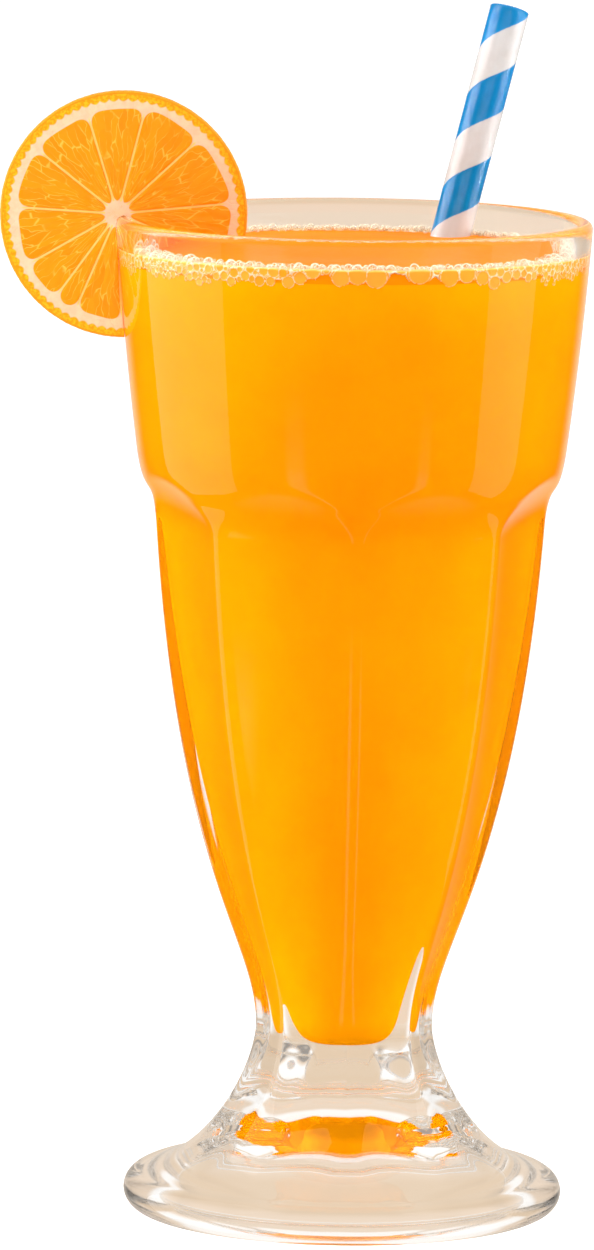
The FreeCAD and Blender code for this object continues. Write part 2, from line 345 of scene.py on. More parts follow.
corner = (float(flute_radius(WAIST[0])) - WAIST_WALL, FLOOR_OF_CAVITY + FLOOR_ROUND)
bowl_top = (float(flute_radius(SHOULDER_BASE[0])) - FLUTE_WALL, SHOULDER_BASE[1])
band_base = (SHOULDER_TOP[0] - BAND_WALL, SHOULDER_TOP[1])
floor_round = cubic([(FLOOR_FLAT, FLOOR_OF_CAVITY),
                     ((FLOOR_FLAT + 2 * corner[0]) / 3, FLOOR_OF_CAVITY),
                     (corner[0] - 0.09 * FLOOR_ROUND, FLOOR_OF_CAVITY + FLOOR_ROUND / 2), corner], 16)
inner_lip = (RIM_RADIUS - 2 * LIP, HEIGHT - LIP)
cavity_bowl = flank(corner, INNER_FLOOR_SLOPE, 0.34, bowl_top, INNER_SHOULDER_SLOPE, 0.7, 46)
cavity_shoulder = flank(bowl_top, INNER_SHOULDER_SLOPE, 0.3, band_base, INNER_BAND_SLOPE, 0.3, 14)
cavity_band = flank(band_base, INNER_BAND_SLOPE, 0.3, inner_lip, INNER_LIP_SLOPE, 0.4, 22)
cavity = np.concatenate([floor_round, cavity_bowl[1:], cavity_shoulder[1:], cavity_band[1:]])
print(f"outside {len(outside)} stations, cavity {len(cavity)} stations")


def cavity_radius(height):
    """Radius of the cavity at a height."""
    return np.interp(height, cavity[:, 1], cavity[:, 0])


# %% [markdown]
# ## Flutes and ribs
# Eight hollow flutes are pressed into the bowl and run down over the waist onto the foot. Each is
# part of a big cylinder whose axis stands outside the glass, so its surface in one horizontal cut
# is an arc. Where two arcs would meet, the round envelope cuts them off and leaves a rib, and a
# smooth minimum gives the rib the soft edge of fire-polished glass.

# %% Flutes
RIB_SOFTNESS = 0.7
FOOT_FLUTE = 2.4
FLUTE_FADE = 0.8
ARCH_MEETS = 150.0
ARCH_OVERRUN = 3.0


def flute_outline():
    """Middle line of a flute over its height: foot, bowl and the arch that runs out at the shoulder."""
    waist_depth = WAIST[0] - float(flute_radius(WAIST[0]))
    depth = np.array([(FLUTE_FADE, 0), (-FOOT_FLUTE, 0), (-waist_depth, 0), (-waist_depth, 0)])
    foot = cubic(flank_poles(*foot_ends) + depth, 60)
    middle = np.stack([flute_radius(bowl[:, 0]), bowl[:, 1]], axis=-1)
    meets = np.interp(ARCH_MEETS, outside[:, 1], outside[:, 0])
    arch_top = (meets + 0.9 * ARCH_OVERRUN, ARCH_MEETS + ARCH_OVERRUN)
    arch = flank(middle[-1], SHOULDER_SLOPE, 0.3, arch_top, 0.9, 0.45, 40)
    outside_glass = np.array([(arch_top[0] + 27.3, 160.0)])
    outside_foot = np.array([(80.0, foot[0, 1] - 0.5)])
    return np.concatenate([outside_foot, foot, middle[1:], arch[1:], outside_glass])


def smooth_minimum(a, b, softness):
    """The smaller of two, with the crossing rounded over a width of softness."""
    share = np.clip(0.5 + 0.5 * (b - a) / softness, 0, 1)
    return b + (a - b) * share - softness * share * (1 - share)


def azimuths(per_flute):
    """Angles round the glass that crowd together at the ribs, where the surface turns fastest."""
    step = (np.arange(per_flute) + 0.5) / per_flute * 2 - 1
    crowded = 0.25 * step + 0.75 * np.sin(step * math.pi / 2)
    flute = np.arange(FLUTES)[:, None] * FLUTE_TURN
    return (FIRST_FLUTE + flute + crowded * math.pi / FLUTES).ravel()


def outer_radius(profile, angle):
    """Radius of the fluted outside: smooth minimum of the envelope and the nearest flute's arc."""
    centre = flute_outline()
    middle = np.interp(profile[:, 1], centre[:, 1], centre[:, 0])[:, None]
    half = FLUTE_TURN / 2
    off = ((angle - FIRST_FLUTE + half) % FLUTE_TURN - half)[None, :]
    reach = FLUTE_AXIS - middle
    inside = np.maximum(reach ** 2 - (FLUTE_AXIS * np.sin(off)) ** 2, 0)
    arc = FLUTE_AXIS * np.cos(off) - np.sqrt(inside)
    return smooth_minimum(np.broadcast_to(profile[:, :1], arc.shape), arc, RIB_SOFTNESS)


# %% [markdown]
# ## The glass's skin
# One profile starts under the foot, at the top of its hollow, and runs over the contact ring, up
# the outside, over the lip and down the cavity. Carried round, it is one closed skin.

# %% Skin of the glass
CONTACT_RING = 2.2
DOME_ROUND = 1.0
ring_inside = (EDGE_CENTRE[0] - CONTACT_RING, 0.0)
dome_edge = (ring_inside[0] - DOME_ROUND, DOME_ROUND)
dome = cubic([(0.4, DOME_HEIGHT), (0.45 * dome_edge[0], DOME_HEIGHT),
              (0.85 * dome_edge[0], 0.6 * DOME_HEIGHT), dome_edge], 30)
ring = np.array([ring_inside, (EDGE_CENTRE[0] - CONTACT_RING / 2, 0.0)])
angle = azimuths(32)
outer_start = len(dome) + len(ring)
profile = np.concatenate([dome, ring, outside, lip[1:-1], cavity[::-1]])
radius = np.broadcast_to(profile[:, :1], (len(profile), len(angle))).copy()
fluted = slice(outer_start, outer_start + len(outside))
radius[fluted] = outer_radius(outside, angle)
points = around_axis(radius, angle, profile[:, 1:])
rows, columns = radius.shape
dome_pole = len(points)
floor_pole = dome_pole + 1
points = np.concatenate([points, [(0, 0, DOME_HEIGHT), (0, 0, FLOOR_OF_CAVITY)]])
faces = [quads(rows, columns, True),
         fan(dome_pole, np.arange(columns), reverse=True),
         fan(floor_pole, np.arange(columns) + (rows - 1) * columns)]

# %% [markdown]
# ## Clear glass
# Clear glass is a Principled surface with full transmission. Light that has to reach the juice
# would meet the glass first, and a renderer can't aim a lamp through a curved lens, so rays
# that only ask for light pass straight through. The wall keeps its refraction for everything seen.

# %% Glass finish and piece
glass_look = Finish("clear pressed glass")
waver = glass_look.noise(55.0, 2.0, 0.4)
clear = glass_look.surface({"Base Color": (1, 1, 1, 1), "Roughness": 0.0, "IOR": 1.5,
                            "Transmission Weight": 1.0,
                            "Normal": glass_look.bump(waver, 0.02, 0.0006)})
lamp_ray = glass_look.node("ShaderNodeLightPath", output="Is Shadow Ray")
open_air = glass_look.node("ShaderNodeBsdfTransparent", {}, {"Color": (0.96, 0.96, 0.96, 1)})
wall = glass_look.node("ShaderNodeMixShader", {}, {0: lamp_ray, 1: clear, 2: open_air})
glass_material = glass_look.done(wall)
glass = make_piece("glass_wall", points, faces, [glass_material])
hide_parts("glass")
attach(glass, "root")

# %% [markdown]
# ## Juice
# The juice fills the cavity, and its side reaches a little way into the wall, so no thin film of
# air shows between them. Cloudy juice scatters light back after a millimetre or two, so it looks
# like a coloured solid. Its open top is nearly flat, with a faint ripple that fades at the wall.

# %% Juice surface
INTO_WALL = 0.12
SWELL = 0.05
TOP_ROWS = 48
JUICE_FLOOR = FLOOR_OF_CAVITY - INTO_WALL
side = cavity[cavity[:, 1] < LEVEL - 0.3] + np.array([INTO_WALL, 0.0])
edge_radius = float(cavity_radius(LEVEL))
top = np.stack([np.linspace(edge_radius, 0.6, TOP_ROWS), np.full(TOP_ROWS, LEVEL - SWELL)], axis=-1)
juice_profile = np.concatenate([[(0.8, JUICE_FLOOR)], side, top])
juice_angle = np.linspace(0, FULL_TURN, 144, endpoint=False)
juice_radius = np.broadcast_to(juice_profile[:, :1], (len(juice_profile), len(juice_angle)))
juice_height = np.broadcast_to(juice_profile[:, 1:], juice_radius.shape)
is_top = (np.arange(len(juice_profile)) > len(side))[:, None]
ripple = SWELL * np.sin(juice_radius * 0.5 + 1.3 * np.sin(3 * juice_angle))
juice_height = juice_height + ripple * is_top * np.clip((edge_radius - juice_radius) / 4, 0, 1)
juice_points = around_axis(juice_radius, juice_angle, juice_height)
rows, columns = juice_radius.shape
low_pole = len(juice_points)
juice_points = np.concatenate([juice_points, [(0, 0, JUICE_FLOOR), (0, 0, LEVEL - SWELL)]])
juice_faces = [quads(rows, columns, True), fan(low_pole, np.arange(columns), reverse=True),
               fan(low_pole + 1, np.arange(columns) + (rows - 1) * columns)]
row_of_face = np.repeat(np.arange(rows - 1), columns)
top_face = np.concatenate([row_of_face >= len(side), np.zeros(columns, bool), np.ones(columns, bool)])

# %% [markdown]
# ## Juice finish
# Two finishes share one surface. Against the glass there is no air, so nothing glints there and
# the finish is plain scattering. On the open top the same juice gets the shine of a wet surface
# and a darker colour, which is painted shade.
# The orange is strong in red, middling in green and has almost no blue.

# %% Juice finish and piece
def juice_finish(name, gloss_and_painted_shade):
    """Cloudy orange with faint clouds of pulp; on the open top a wet shine and darker colours, painted
    shade.
    """
    look = Finish(name)
    cloud = look.noise(60.0, 3.0, 0.6)
    colour = look.blend(cloud.ramp_between(0.3, 0.75), *(JUICE_TOP_SHADED if gloss_and_painted_shade else JUICE_SIDE))
    sockets = {"Base Color": colour, "Roughness": 0.4 if gloss_and_painted_shade else 1.0, "IOR": 1.34,
               "Specular IOR Level": 0.02 if gloss_and_painted_shade else 0.0}
    if gloss_and_painted_shade:
        sockets["Normal"] = look.bump(look.noise(400.0, 2.0), 0.2, 0.0004)
    return look.done(look.surface(sockets))


JUICE_SIDE = [(0.98, 0.325, 0.0005, 1.0), (0.98, 0.355, 0.0005, 1.0)]
# The top's colours are the side's juice made darker: painted shade on the open top.
JUICE_TOP_SHADED = [(0.93, 0.215, 0.0004, 1.0), (0.93, 0.245, 0.0004, 1.0)]
juice_looks = [juice_finish("juice against glass", False), juice_finish("juice top with painted shade", True)]
juice = make_piece("juice_fill", juice_points, juice_faces, juice_looks, top_face)
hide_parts("juice")
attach(juice, "root")

# %% [markdown]
# ## Froth
# Freshly poured juice carries a ring of froth where it meets the glass. Bubbles pressed against
# a wall share thin films, so what shows is a net of pale lines around cells of every size. The
# cells are laid out flat first, on a strip that runs up the wall and then inwards over the juice.
# Discs are dropped on the strip, biggest first, and each keeps its place only if it touches none
# already there. A point of the strip lies on a film where its two nearest discs are equally near.

# %% Cells of the froth
def drop_discs(length, breadth, tries, size_at, overlap):
    """Discs on a strip that wraps round: each one stays clear of the bigger ones before it."""
    place = random.uniform(0, 1, (tries, 2)) * np.array([length, breadth])
    radii = size_at(place) * random.uniform(0.45, 1.0, tries)
    order = np.argsort(-radii)
    place, radii = place[order], radii[order]
    kept = np.zeros(tries, dtype=bool)
    for index in range(tries):
        away = np.abs(place[kept] - place[index])
        away[:, 0] = np.minimum(away[:, 0], length - away[:, 0])
        touching = np.hypot(away[:, 0], away[:, 1]) < (radii[kept] + radii[index]) * overlap
        kept[index] = not touching.any()
    return place[kept], radii[kept]


def cell_fields(along, up, place, radii, length):
    """For each point: distance to the nearest and second nearest disc's edge, and the nearest's number."""
    fields = []
    for row in range(len(up)):
        across = np.abs(along[:, None] - place[None, :, 0])
        across = np.minimum(across, length - across)
        distance = np.hypot(across, up[row] - place[None, :, 1]) - radii[None]
        nearest = np.argmin(distance, axis=1)
        first = distance[np.arange(len(along)), nearest]
        distance[np.arange(len(along)), nearest] = np.inf
        fields.append((first, distance.min(axis=1), nearest))
    return [np.array(field) for field in zip(*fields)]


def largest_at(place):
    """Largest disc radius: wide at the front right, small elsewhere and on the open juice."""
    turn = place[:, 0] / ring_length * FULL_TURN
    off = (turn - FRONT_RIGHT + math.pi) % FULL_TURN - math.pi
    size = 0.95 + 1.05 * np.exp(-(off / 0.38) ** 2) + 0.25 * np.sin(3 * turn)
    return np.where(place[:, 1] > WALL_RUN, 0.75, size)


FRONT_RIGHT = math.radians(-74)
WALL_RUN = 4.4
TOP_RUN = 4.0
FILM = 0.12
FILM_OVERHANG = 0.16
SOLID_RUN = 2.4
ring_length = FULL_TURN * float(cavity_radius(LEVEL))
disc_place, disc_radius = drop_discs(ring_length, WALL_RUN + TOP_RUN, 9000, largest_at, 0.93)
print(len(disc_radius), "cells of froth")

# %% [markdown]
# ## The net of films
# The strip is bent into a closed ring: up the wall, over the juice and back underneath, where the
# juice hides it. Films stand a little proud and the cells between them sink, as real froth does.
# Cells too low or too far in are left out, and so is what lies between the lowest cells, which
# makes the ragged edge.

# %% Froth ring
def froth_ring():
    """Closed ring: its lift off the strip is high on films, low in cells and negative without froth."""
    columns = 1500
    inner_run = np.linspace(WALL_RUN, WALL_RUN + TOP_RUN, 19)
    run = np.concatenate([np.linspace(0, WALL_RUN, 27), inner_run[1:]])
    turn = np.linspace(0, FULL_TURN, columns, endpoint=False)
    along = turn / FULL_TURN * ring_length
    first, second, nearest = cell_fields(along, run, disc_place, disc_radius, ring_length)
    film = np.clip(1 - (second - first) / (2 * FILM), 0, 1)
    ring = np.clip(1 - np.abs(first - 0.02) / FILM, 0, 1)
    film = np.clip(np.maximum(film, ring) + np.clip((first - 0.3) / 0.3, 0, 1), 0, 1)
    ragged = random.uniform(0, 1, len(disc_radius))
    low_enough = disc_place[:, 1] - disc_radius > 0.1 + 1.1 * ragged ** 2
    near_enough = disc_place[:, 1] < WALL_RUN + TOP_RUN * (0.45 + 0.5 * ragged)
    cell_kept = low_enough & near_enough
    kept = cell_kept[nearest] & ((first < FILM_OVERHANG) | (run[:, None] > SOLID_RUN))
    dome = np.clip(-first / 0.8, 0, 1)
    lift = np.where(kept, 0.03 + 0.17 * film, -0.4)
    lift[run > WALL_RUN] += np.where(kept, 0.12 + 0.3 * dome, 0)[run > WALL_RUN]
    on_wall = (run <= WALL_RUN)[:, None]
    height = np.minimum(LEVEL - WALL_RUN + run, LEVEL)[:, None]
    inward = np.maximum(run - WALL_RUN, 0)[:, None]
    radius = cavity_radius(height) + INTO_WALL - inward + np.where(on_wall, lift, 0)
    height = height + np.where(on_wall, 0, lift)
    hidden_radius = np.array([[radius[-1].min() - 0.3], [radius[0].min() - 1.5]]) * np.ones(columns)
    hidden_height = np.array([[LEVEL - 1.5], [LEVEL - WALL_RUN - 0.3]]) * np.ones(columns)
    radius = np.concatenate([radius, hidden_radius])
    height = np.concatenate([height, hidden_height])
    points = around_axis(radius, turn, height)
    rows = len(radius)
    skin = quads(rows, columns, True)
    first_row = np.arange(columns)
    last_row = first_row + (rows - 1) * columns
    closing = np.stack([last_row, np.roll(last_row, -1), np.roll(first_row, -1), first_row], axis=-1)
    piece = make_piece("froth_ring", points, [skin, closing], [froth_finish()])
    hidden = np.zeros((2, columns))
    paint(piece, "film", np.concatenate([film, hidden]))
    paint(piece, "tone", np.concatenate([random.uniform(0, 1, len(disc_radius))[nearest], hidden]))
    paint(piece, "open", np.concatenate([np.broadcast_to(~on_wall, film.shape), hidden]))
    return piece


def froth_finish():
    """Creamy films round cells that show the juice behind; paler where the froth is open to air."""
    look = Finish("froth films")
    film, tone, is_open = (look.attribute(name) for name in ("film", "tone", "open"))
    grain = look.noise(900.0, 2.0)
    cell = look.blend(tone, (0.90, 0.31, 0.004, 1), (0.92, 0.37, 0.03, 1))
    cell = look.blend(is_open * 0.5, cell, (0.80, 0.52, 0.24, 1))
    cream = look.blend(grain.ramp_between(0.3, 0.7), (0.72, 0.55, 0.33, 1), (0.78, 0.66, 0.48, 1))
    colour = look.blend(film.ramp_between(0.25, 0.8), cell, cream)
    return look.done(look.surface({"Base Color": colour, "Roughness": 0.35 - film * 0.1, "IOR": 1.34,
                                   "Normal": look.bump(grain, 0.2, 0.0003)}))


froth = froth_ring()
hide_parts("froth")
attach(froth, "root")

# %% [markdown]
# ## Loose bubbles
# Single bubbles ride on the froth and at its inner edge. A bubble is a thin film: clear where we
# look straight through it, creamy at its edge where we look along it. So they are hollow spheres
# with a facing-dependent finish, made all at once: one small sphere of points is scaled and moved
# by arrays of radii and centres.

# %% Bubble builder
def unit_sphere(around, down):
    """Unit sphere: rings of sin and cos at steps down from the top, two poles, and its faces."""
    tilt = np.linspace(0, math.pi, down + 2)[1:-1, None]
    turn = np.linspace(0, FULL_TURN, around, endpoint=False)[None, :]
    rings = around_axis(np.sin(tilt), turn, np.cos(tilt))
    sphere = np.concatenate([rings, [(0, 0, 1), (0, 0, -1)]])
    first = np.arange(around)
    last = first + (down - 1) * around
    sides = quads(down, around, True)[:, ::-1]
    return sphere, sides, fan(len(rings), first), fan(len(rings) + 1, last, True)


def bubbles(name, centres, radii, around, down, finish):
    """Many bubbles in one mesh: every sphere point is centre + radius * unit point."""
    sphere, sides, cap, base = unit_sphere(around, down)
    cloud = centres[:, None, :] + radii[:, None, None] * sphere[None]
    shift = (np.arange(len(radii)) * len(sphere))[:, None, None]
    blocks = [(block[None] + shift).reshape(-1, block.shape[1]) for block in (sides, cap, base)]
    piece = make_piece(name, cloud.reshape(-1, 3), blocks, [finish])
    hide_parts("froth")
    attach(piece, "root")
    return piece


def clear_of_garnish(centres, radii):
    """True where a bubble stays out of the slice and the straw."""
    beside_slice = np.abs(centres[:, 1] - SLICE_CENTRE[1]) > SLICE_HALF + radii
    away = (centres[:, 0] > SLICE_CENTRE[0] + SLICE_RADIUS) | beside_slice
    foot = STRAW_TIP + STRAW_AXIS * ((centres[:, 2:] - STRAW_TIP[2]) / STRAW_AXIS[2])
    return away & (np.linalg.norm(centres - foot, axis=1) > STRAW_RADIUS + radii)


SLICE_HALF = (slice_high[1] - slice_low[1]) / 2
STRAW_RADIUS = 4.0
STRAW_WALL = 0.45
STRAW_LENGTH = 180.0
STRAW_CLEARANCE = 4.36
STRAW_TIP_HEIGHT = 70.0
tip_reach = -float(cavity_radius(STRAW_TIP_HEIGHT)) + STRAW_CLEARANCE
STRAW_TIP = np.array([tip_reach, 0.0, STRAW_TIP_HEIGHT])
lean_reach = RIM_RADIUS - 2 * LIP - STRAW_CLEARANCE
lean_turn = math.radians(58.7)
lean_place = (lean_reach * math.cos(lean_turn), lean_reach * math.sin(lean_turn), HEIGHT - LIP)
STRAW_LEAN = np.array(lean_place)
STRAW_AXIS = (STRAW_LEAN - STRAW_TIP) / np.linalg.norm(STRAW_LEAN - STRAW_TIP)
print("straw leans", np.round(np.degrees(np.arccos(STRAW_AXIS[2])), 1), "degrees")

# %% [markdown]
# ## Bubbles on the surface
# A few wide bubbles and many fine ones crowd to the wall, since a floating bubble is drawn up the
# curved edge of the juice. A number below one gets smaller when it is raised to a power, so a
# power of a random distance makes the crowd.

# %% Bubbles on the surface
def film_finish():
    """Bubble film by the Layer Weight node's facing value: clear face-on, creamy edge-on."""
    look = Finish("bubble film")
    facing = look.node("ShaderNodeLayerWeight", {}, {"Blend": 0.5}, output="Facing")
    cream = (0.84, 0.72, 0.54, 1)
    film = look.surface({"Base Color": cream, "Roughness": 0.2, "IOR": 1.33})
    air = look.node("ShaderNodeBsdfTransparent", {}, {"Color": (1, 1, 1, 1)})
    amount = (facing.ramp_between(0.1, 0.6) * 0.95 + look.noise(900.0) * 0.06).clamped()
    return look.done(look.node("ShaderNodeMixShader", {}, {0: amount, 1: air, 2: film}))


def surface_bubbles(name, count, smallest, largest, depth, lift, around, down):
    """Bubbles spread round the juice's edge, thicker near the wall, resting at the level."""
    turn = np.sort((np.arange(count) + random.uniform(-0.45, 0.45, count)) / count * FULL_TURN)
    radii = smallest + (largest - smallest) * random.uniform(0, 1, count) ** CROWDING
    height = LEVEL + lift * random.uniform(0.2, 1, count)
    inward = radii + depth * random.uniform(0, 1, count) ** CROWDING
    reach = cavity_radius(height) - inward
    centres = around_axis(reach, turn, height)
    keep = clear_of_garnish(centres, radii)
    return bubbles(name, centres[keep], radii[keep], around, down, bubble_film)


CROWDING = 1.6
bubble_film = film_finish()
surface_bubbles("froth_wide_bubbles", 180, 0.5, 1.1, 3.0, 0.5, 12, 6)
surface_bubbles("froth_fine_bubbles", 1300, 0.18, 0.5, 4.2, 0.7, 9, 5)

# %% [markdown]
# ## Orange slice
# A slice is a disc with three zones: beaded zest, pale pith and pulp. Thin walls split the pulp
# into segments with rounded outer corners, and every segment is packed with juice sacs that point
# to the core. All of it is one polar grid. The distance to the nearest wall and to the pith gives
# the segments, and waves that cross each other give the pulp its uneven relief. A slit lets the
# slice sit on the rim, so the grid's angles start and end at the slit's sides.

# %% Slice outline and its fields
SEGMENT_WALLS = np.radians([5.9, 43.2, 75.7, 107.3, 141.9, 177.0,
                            210.3, 234.1, 247.0, 272.8, 305.0, 338.0])
SLIT_HALF = 1.75
SLIT_TOP = 0.2
SLIT_LEAN = math.radians(-90 + 5.1)
PULP_EDGE = 0.86
PITH_EDGE = 0.935
FACE_INSET = 0.25
HALF_MEMBRANE = 0.13
CORE = np.array([-1.2, 0.2])
CORE_RADIUS = 2.4
TEETH = 76


def slit_angle(reach):
    """Half angle the slit takes from a circle: law of cosines at its round top, then an arcsine."""
    drop = SLIT_TOP + SLIT_HALF
    straight = np.arcsin(np.clip(SLIT_HALF / np.maximum(reach, 1e-6), 0, 1))
    cosine = (reach ** 2 + drop ** 2 - SLIT_HALF ** 2) / np.maximum(2 * reach * drop, 1e-6)
    rounded = np.arccos(np.clip(cosine, -1, 1))
    return np.where(reach > math.hypot(drop, SLIT_HALF), straight, rounded)


pulp_share = np.linspace(0.02, PULP_EDGE, 66)
peel_share = np.linspace(PULP_EDGE, 0.972, 18)
reach = SLICE_RADIUS * np.concatenate([[0.006], pulp_share, peel_share[1:]])
lap = np.linspace(0, 1, 500)
half = slit_angle(reach)[:, None]
slice_turn = SLIT_LEAN + half + lap[None, :] * (FULL_TURN - 2 * half)
across = reach[:, None] * np.cos(slice_turn)
up = reach[:, None] * np.sin(slice_turn)
core_reach = np.hypot(across - CORE[0], up - CORE[1])
core_turn = np.arctan2(up - CORE[1], across - CORE[0])
gap = np.abs((core_turn[..., None] - SEGMENT_WALLS + math.pi) % FULL_TURN - math.pi).min(axis=-1)
from_wall = core_reach * np.sin(np.minimum(gap, math.pi / 2)) - HALF_MEMBRANE
wobble = 0.2 * np.sin(5 * slice_turn + 1) + 0.12 * np.sin(11 * slice_turn)
from_pith = SLICE_RADIUS * PULP_EDGE + wobble - reach[:, None]
in_lobe = smooth_minimum(from_wall, from_pith, 2.6)
segment = smooth_minimum(in_lobe, (core_reach - CORE_RADIUS) * 0.6, 0.9)
in_pulp = np.clip(segment / 0.3, 0, 1)
spokes = np.sin(core_turn * 47 + 2.0 * np.sin(core_reach * 0.55))
sac_wave = spokes * np.sin(core_reach * 0.8 + 3 * np.sin(core_turn * 5))
relief = in_pulp * (0.12 + 0.06 * sac_wave) - 0.1 * (1 - in_pulp) * (reach[:, None] < SLICE_RADIUS * 0.8)
print(f"segments cover {100 * (in_pulp > 0.5).mean():.0f} % of the grid")

# %% [markdown]
# ## Slice mesh
# The grid is turned into a closed body: the front, a rounded rim, the back, a hub that closes the
# middle of each face, and a strip down each side of the slit. Distances are painted on the points
# rather than colours, because a distance stays sharp when a shader cuts it at a value.

# %% Slice mesh
def slice_piece():
    """Front grid, rounded rim rows and back grid, closed by two hubs and the slit's two walls."""
    columns = across.shape[1]
    bulge = np.array([(0.984, -0.92), (0.996, -0.72), (1.0, -0.3),
                      (1.0, 0.3), (0.996, 0.72), (0.984, 0.92)])
    rim_turn = slice_turn[-1]
    pits = 0.03 * np.sin(TEETH * rim_turn) * np.sin(37 * rim_turn + 2)
    rim_reach = np.outer(bulge[:, 0] * SLICE_RADIUS, np.ones(columns)) - 0.05 + pits
    rim = np.stack([rim_reach * np.cos(rim_turn), np.outer(bulge[:, 1] * SLICE_HALF, np.ones(columns)),
                    rim_reach * np.sin(rim_turn)], axis=-1)
    depth = SLICE_HALF - FACE_INSET + relief
    front = np.stack([across, -depth, up], axis=-1)
    back = np.stack([across, depth, up], axis=-1)[::-1]
    grid = np.concatenate([front, rim, back])
    total = len(grid)
    hubs = np.array([(0, -depth[0].mean(), 0), (0, depth[0].mean(), 0)])
    points = np.concatenate([grid.reshape(-1, 3), hubs]) + SLICE_CENTRE
    row_start = np.arange(total) * columns
    pair = np.arange(total // 2)
    opposite = total - 1 - pair
    near = row_start[pair]
    far = row_start[opposite]
    side = np.stack([near[:-1], near[1:], far[1:], far[:-1]], axis=-1)
    other = side[:, ::-1] + columns - 1
    first = np.arange(columns)
    last = first + (total - 1) * columns
    front_hub = np.stack([np.full(columns - 1, total * columns), first[:-1], first[1:]], axis=-1)
    back_hub = np.stack([np.full(columns - 1, total * columns + 1), last[1:], last[:-1]], axis=-1)
    skin = quads(total, columns, False)
    faces = [skin[:, ::-1], side[:, ::-1], other[:, ::-1], front_hub, back_hub]
    piece = make_piece("orange_slice_cut", points, faces, [orange_finish()])

    def stacked(field, fill):
        """A face's field for front, rim, back and hubs."""
        whole = np.concatenate([field, np.full((len(bulge), columns), fill), field[::-1]]).ravel()
        return np.concatenate([whole, [field[0].mean()] * 2])

    paint(piece, "segment", stacked(np.clip(segment, -1, 2), -1.0))
    in_core = core_reach < CORE_RADIUS
    paint(piece, "wall", stacked(np.minimum(np.abs(from_wall + 0.1), 2.0) + 9 * in_core, 2.0))
    paint(piece, "core_reach", stacked(core_reach, SLICE_RADIUS))
    paint(piece, "reach", stacked(reach[:, None] / SLICE_RADIUS * np.ones_like(across), 1.0))
    return piece


# %% [markdown]
# ## Slice finish
# The zones are cut at painted distances. The fine sacs are cells round scattered seeds, drawn in
# polar coordinates, where they narrow towards the core as real ones do.

# %% Slice finish and piece
def orange_finish():
    """Pulp, pith and zest cut from painted distances; sacs are cells in polar coordinates."""
    look = Finish("cut orange")
    painted = ("segment", "wall", "core_reach", "reach")
    segment_mm, wall_mm, core_mm, share = (look.attribute(name) for name in painted)
    place = look.place()
    core_place = tuple((SLICE_CENTRE + [CORE[0], 0, CORE[1]]) * MM)
    apart = look.node("ShaderNodeVectorMath", {"operation": "SUBTRACT"}, {0: place, 1: core_place})
    sideways, upwards = (look.node("ShaderNodeSeparateXYZ", {}, {0: apart}, output=name)
                         for name in ("X", "Z"))
    turn = sideways.math("ARCTAN2", upwards, sideways)
    drift = look.noise(260.0, 2.0) - 0.5
    polar = look.node("ShaderNodeCombineXYZ", {}, {"X": turn * 14.0 + drift * 2.2,
                                                   "Y": core_mm * 0.19 + drift * 0.7})
    cells = {"Vector": polar, "Scale": 1.0, "Randomness": 0.9}
    film = look.node("ShaderNodeTexVoronoi", {"feature": "DISTANCE_TO_EDGE",
                                              "voronoi_dimensions": "2D"}, cells, output="Distance")
    tint = look.node("ShaderNodeTexVoronoi", {"feature": "F1",
                                              "voronoi_dimensions": "2D"}, cells, output="Color")
    tone = look.node("ShaderNodeSeparateXYZ", {}, {0: tint}, output="X")
    grain = look.noise(700.0, 3.0, 0.6)
    speck = look.noise(1500.0, 2.0)
    flesh = look.blend(tone, (0.93, 0.265, 0.002, 1), (0.95, 0.32, 0.004, 1))
    sac_line = (1 - film.ramp_between(0.0, 0.075)) * look.noise(330.0, 2.0).ramp_between(0.32, 0.6)
    flesh = look.blend(sac_line * 0.85, flesh, (0.98, 0.56, 0.08, 1))
    pith = look.blend(grain.ramp_between(0.3, 0.7), (0.90, 0.54, 0.33, 1), (0.92, 0.61, 0.39, 1))
    rind = look.blend(speck.ramp_between(0.4, 0.62), (0.95, 0.33, 0.003, 1), (0.98, 0.49, 0.012, 1))
    rind = look.blend(share.ramp_between(0.965, 1.0), rind, (0.86, 0.28, 0.006, 1))
    pulp = segment_mm.ramp_between(0.0, 0.1)
    colour = look.blend(pulp, pith, flesh)
    membrane = (1 - wall_mm.ramp_between(0.06, 0.2)) * (1 - share.ramp_between(0.8, 0.84))
    colour = look.blend(membrane, colour, (0.99, 0.62, 0.14, 1))
    crack = (1 - film.ramp_between(0.0, 0.05)) * (1 - core_mm.ramp_between(1.6, 2.4))
    colour = look.blend(crack * 0.8, colour, (0.93, 0.42, 0.06, 1))
    teeth = (turn * (TEETH / 2.0)).sine().absolute() * 0.022 + speck * 0.006
    colour = look.blend((share + teeth).ramp_between(PITH_EDGE, PITH_EDGE + 0.012), colour, rind)
    bumped = look.bump(grain * 0.4 + speck * share.ramp_between(0.93, 0.95) - sac_line * 0.8, 0.35, 0.0003)
    return look.done(look.surface({"Base Color": colour, "Roughness": 0.5 - pulp * 0.3, "IOR": 1.38,
                                   "Specular IOR Level": 0.15, "Normal": bumped,
                                   "Subsurface Weight": 0.2, "Subsurface Radius": (0.002, 0.0008, 0.0002),
                                   "Subsurface Scale": 1.0}))


orange = slice_piece()
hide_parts("orange_slice")
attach(orange, "root")

# %% [markdown]
# ## Paper straw
# A paper straw is a strip wound in a helix, printed so that the winding shows as a stripe. The
# tube is a grid along a tilted axis with a thin wall and square ends. Two numbers painted on each
# point, turns around and turns along, make the stripe: their difference is the same all along one
# winding, so its fraction says which band a point is in. Only the outside is printed, and a coat
# of wax gives it a soft gloss.

# %% Straw
STRIPE_PITCH = 19.7
STRIPE_OFFSET = 0.37
WHOLE_TURNS = 4.0
SOFT_END = 0.06
SEAM_RIDGE = 0.03


